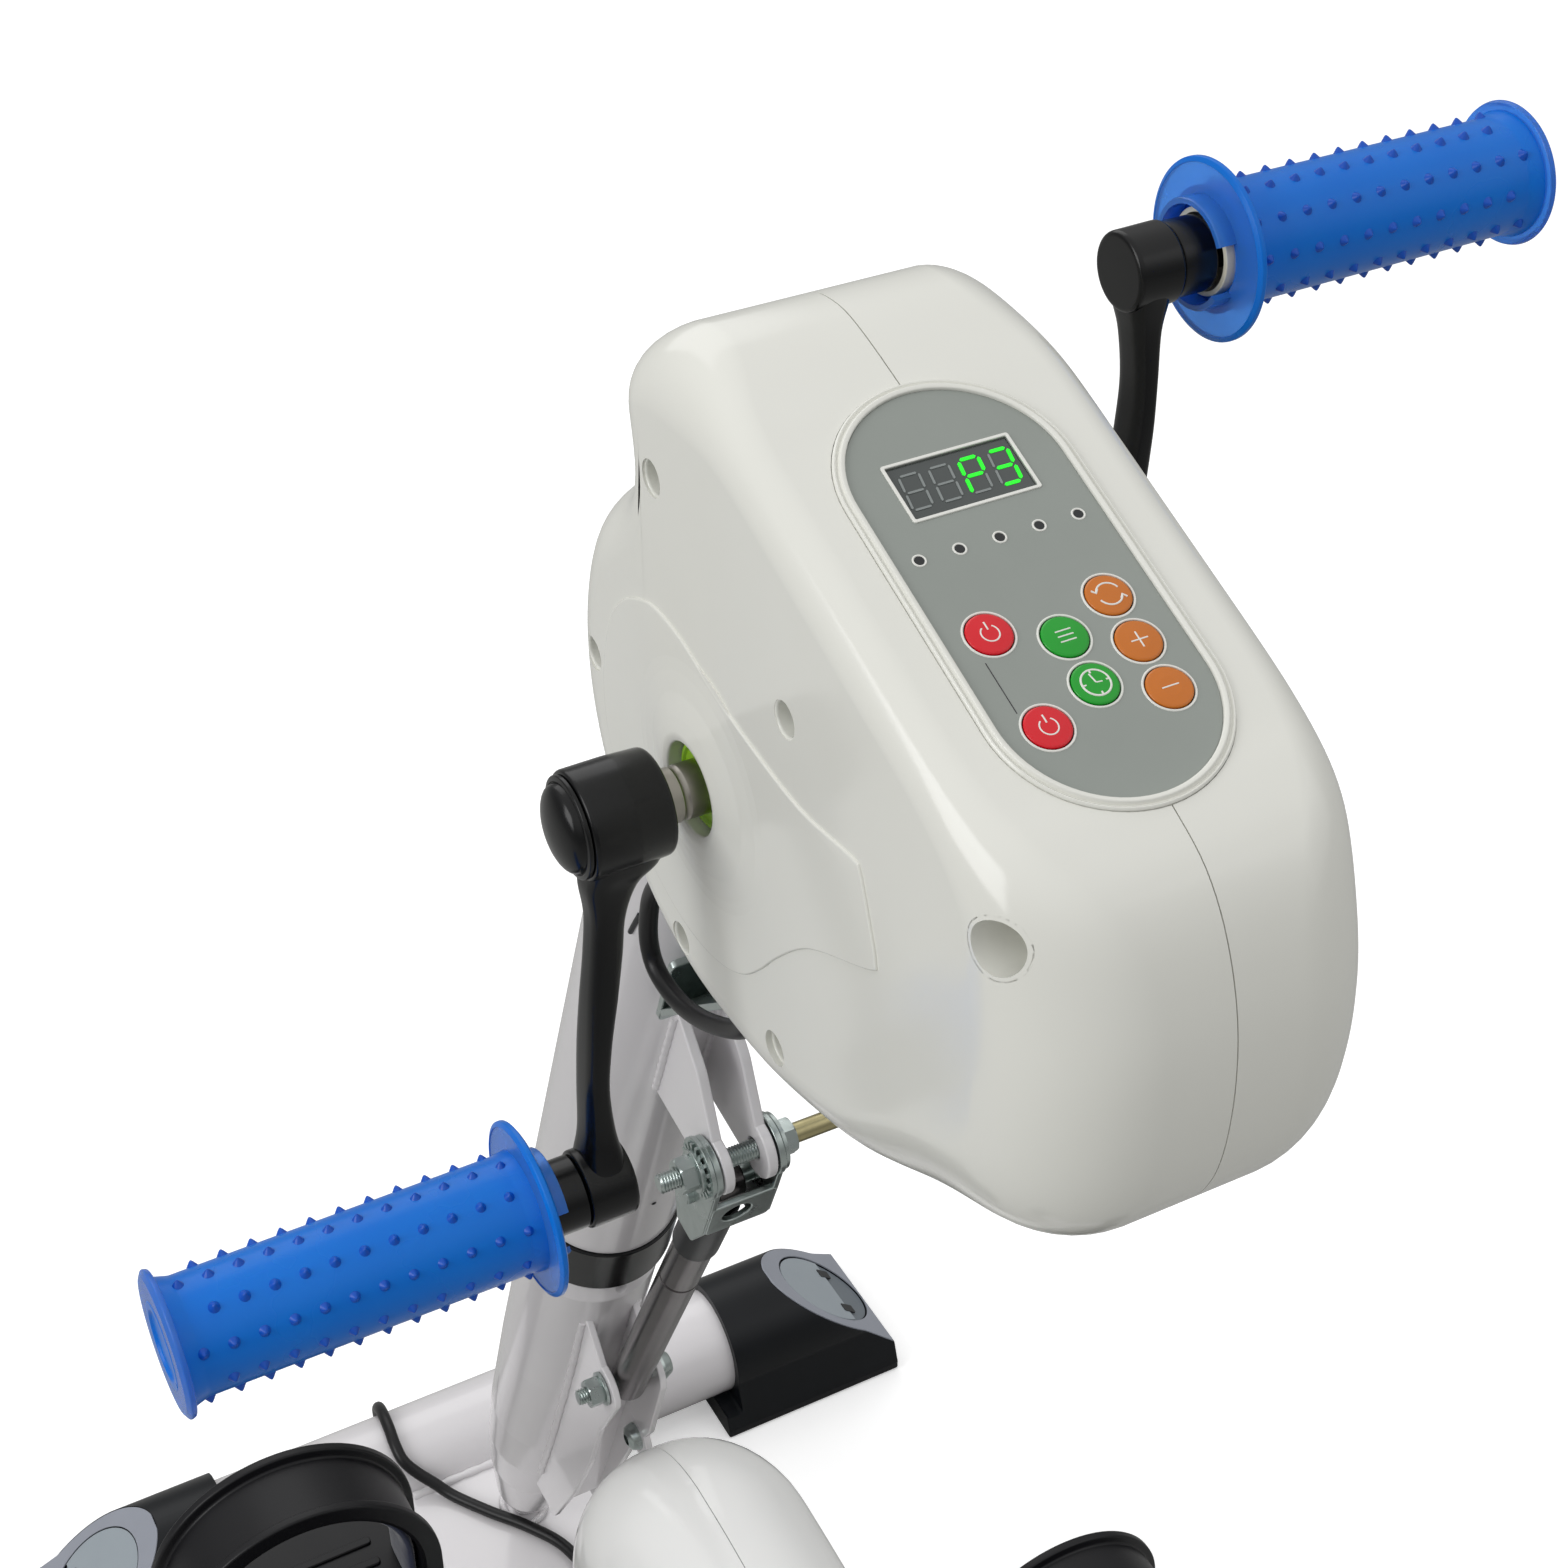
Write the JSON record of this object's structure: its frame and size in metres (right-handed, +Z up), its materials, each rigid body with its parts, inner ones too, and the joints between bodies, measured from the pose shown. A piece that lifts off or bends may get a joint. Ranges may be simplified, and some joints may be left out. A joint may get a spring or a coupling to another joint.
{
  "type": "arm and leg pedal exerciser",
  "caption": "Floor-standing motorised arm and leg cycle: low base with a foot-pedal unit, and a leaning height-adjustable post carrying a hand-crank head with a console.",
  "frame": {"origin": "centre of the bounding box on the floor, between the two stabiliser tubes", "axes": "+Z up, +X to the user's right, +Y away from the user; the user sits towards -Y and faces +Y"},
  "size_m": [0.544, 0.7076, 1.0238],
  "materials": {
    "ivory_plastic": "moulded gloss",
    "white_coat": "powder coat",
    "black_nylon": "moulded satin",
    "grey_plastic": "moulded matte",
    "grey_membrane": "printed film",
    "display_glass": "clear window",
    "red_key": "moulded",
    "green_key": "moulded",
    "orange_key": "moulded",
    "blue_rubber": "translucent moulded",
    "lime_nylon": "moulded",
    "turned_steel": "turned",
    "zinc_steel": "zinc plated",
    "yellow_zinc_steel": "yellow passivated",
    "ground_steel": "ground",
    "motor_can": "black oxide",
    "black_cable": "extruded",
    "navy_strap": "brushed loop"
  },
  "bodies": {
    "base": {"base_beam": "white_coat", "front_stabiliser": "white_coat", "rear_stabiliser": "white_coat", "front_left_cap": "black_nylon", "front_right_cap": "black_nylon", "rear_left_cap": "black_nylon", "rear_right_cap": "black_nylon", "front_left_plug": "grey_plastic", "front_right_plug": "grey_plastic", "lower_post": "white_coat", "lower_bracket": "white_coat", "lower_pivot_bolt": "zinc_steel", "leg_cable": "black_cable", "leg_shell_left": "ivory_plastic", "leg_shell_right": "ivory_plastic", "leg_motor": "motor_can"},
    "mast": {"upper_sleeve": "white_coat", "sleeve_collar": "black_nylon", "clamp_clevis": "zinc_steel", "clamp_bolt": "yellow_zinc_steel", "head_bracket": "zinc_steel", "head_shell_left": "ivory_plastic", "head_shell_right": "ivory_plastic", "console_bezel": "ivory_plastic", "console_panel": "grey_membrane", "display_window": "display_glass", "head_motor": "motor_can", "head_frame": "turned_steel", "head_cable": "black_cable"},
    "hand_cranks": {"hand_shaft": "turned_steel", "hand_gear": "lime_nylon", "left_crank": "black_nylon", "right_crank": "black_nylon", "left_crank_cap": "black_nylon", "right_crank_cap": "black_nylon", "left_spindle": "black_nylon", "right_spindle": "black_nylon"},
    "spring_tube": {"gas_spring_cylinder": "ground_steel", "spring_end_guide": "black_nylon"},
    "spring_rod": {"gas_spring_rod": "ground_steel"},
    "left_handle": {"left_grip": "blue_rubber"},
    "right_handle": {"right_grip": "blue_rubber"},
    "hand_motor_pinion": {"hand_pinion": "turned_steel"},
    "height_lever": {"lock_lever": "black_nylon"},
    "leg_cranks": {"leg_shaft": "turned_steel", "leg_gear": "lime_nylon", "left_leg_crank": "black_nylon", "right_leg_crank": "black_nylon"},
    "left_foot": {"left_pedal": "black_nylon", "left_strap": "navy_strap"},
    "right_foot": {"right_pedal": "black_nylon", "right_strap": "navy_strap"},
    "leg_motor_pinion": {"leg_pinion": "turned_steel"},
    "power_up_button": {"power_up_key": "red_key"},
    "power_down_button": {"power_down_key": "red_key"},
    "mode_button": {"mode_key": "green_key"},
    "time_button": {"time_key": "green_key"},
    "direction_button": {"direction_key": "orange_key"},
    "speed_up_button": {"speed_up_key": "orange_key"},
    "speed_down_button": {"speed_down_key": "orange_key"}
  },
  "joints": [
    {"name": "height_slide", "type": "slide", "parent": "base", "child": "mast", "axis": [0, -0.3502, 0.9367], "range_m": [0, 0.12]},
    {"name": "hand_crank_spin", "type": "hinge", "parent": "mast", "child": "hand_cranks", "pos_m": [0, -0.1495, 0.873], "axis": [1, 0, 0], "continuous": true},
    {"name": "spring_tube_tilt", "type": "hinge", "parent": "base", "child": "spring_tube", "pos_m": [0, 0.06352, 0.34544], "axis": [1, 0, 0], "range_deg": [-1.5, 0]},
    {"name": "spring_rod_tilt", "type": "hinge", "parent": "mast", "child": "spring_rod", "pos_m": [0, -0.04428, 0.57951], "axis": [1, 0, 0], "range_deg": [-1.5, 0]},
    {"name": "left_grip_spin", "type": "hinge", "parent": "hand_cranks", "child": "left_handle", "pos_m": [0, -0.17528, 0.75069], "axis": [1, 0, 0], "continuous": true},
    {"name": "right_grip_spin", "type": "hinge", "parent": "hand_cranks", "child": "right_handle", "pos_m": [0, -0.12372, 0.99531], "axis": [1, 0, 0], "continuous": true},
    {"name": "hand_pinion_spin", "type": "hinge", "parent": "mast", "child": "hand_motor_pinion", "pos_m": [0, -0.2109, 0.86437], "axis": [1, 0, 0], "continuous": true},
    {"name": "height_lever_turn", "type": "hinge", "parent": "mast", "child": "height_lever", "pos_m": [0, -0.05643, 0.60486], "axis": [1, 0, 0], "range_deg": [-80, 0]},
    {"name": "leg_crank_spin", "type": "hinge", "parent": "base", "child": "leg_cranks", "pos_m": [0, -0.0695, 0.223], "axis": [1, 0, 0], "continuous": true},
    {"name": "left_pedal_spin", "type": "hinge", "parent": "leg_cranks", "child": "left_foot", "pos_m": [0, -0.0195, 0.3096], "axis": [1, 0, 0], "continuous": true},
    {"name": "right_pedal_spin", "type": "hinge", "parent": "leg_cranks", "child": "right_foot", "pos_m": [0, -0.1195, 0.1364], "axis": [1, 0, 0], "continuous": true},
    {"name": "leg_pinion_spin", "type": "hinge", "parent": "base", "child": "leg_motor_pinion", "pos_m": [0, -0.12776, 0.2018], "axis": [1, 0, 0], "continuous": true},
    {"name": "power_up_press", "type": "slide", "parent": "mast", "child": "power_up_button", "axis": [0, 0.3437, -0.9391], "range_m": [0, 0.0006], "stiffness_N_per_m": 800},
    {"name": "power_down_press", "type": "slide", "parent": "mast", "child": "power_down_button", "axis": [0, 0.3437, -0.9391], "range_m": [0, 0.0006], "stiffness_N_per_m": 800},
    {"name": "mode_press", "type": "slide", "parent": "mast", "child": "mode_button", "axis": [0, 0.3437, -0.9391], "range_m": [0, 0.0006], "stiffness_N_per_m": 800},
    {"name": "time_press", "type": "slide", "parent": "mast", "child": "time_button", "axis": [0, 0.3437, -0.9391], "range_m": [0, 0.0006], "stiffness_N_per_m": 800},
    {"name": "direction_press", "type": "slide", "parent": "mast", "child": "direction_button", "axis": [0, 0.3437, -0.9391], "range_m": [0, 0.0006], "stiffness_N_per_m": 800},
    {"name": "speed_up_press", "type": "slide", "parent": "mast", "child": "speed_up_button", "axis": [0, 0.3437, -0.9391], "range_m": [0, 0.0006], "stiffness_N_per_m": 800},
    {"name": "speed_down_press", "type": "slide", "parent": "mast", "child": "speed_down_button", "axis": [0, 0.3437, -0.9391], "range_m": [0, 0.0006], "stiffness_N_per_m": 800}
  ],
  "couplings": [
    {"joint": "hand_pinion_spin", "follows": "hand_crank_spin", "ratio": -3.4286},
    {"joint": "leg_pinion_spin", "follows": "leg_crank_spin", "ratio": -3.4286},
    {"joint": "spring_tube_tilt", "follows": "height_slide", "rad_per_m": -0.1953},
    {"joint": "spring_rod_tilt", "follows": "height_slide", "rad_per_m": -0.1953}
  ]
}
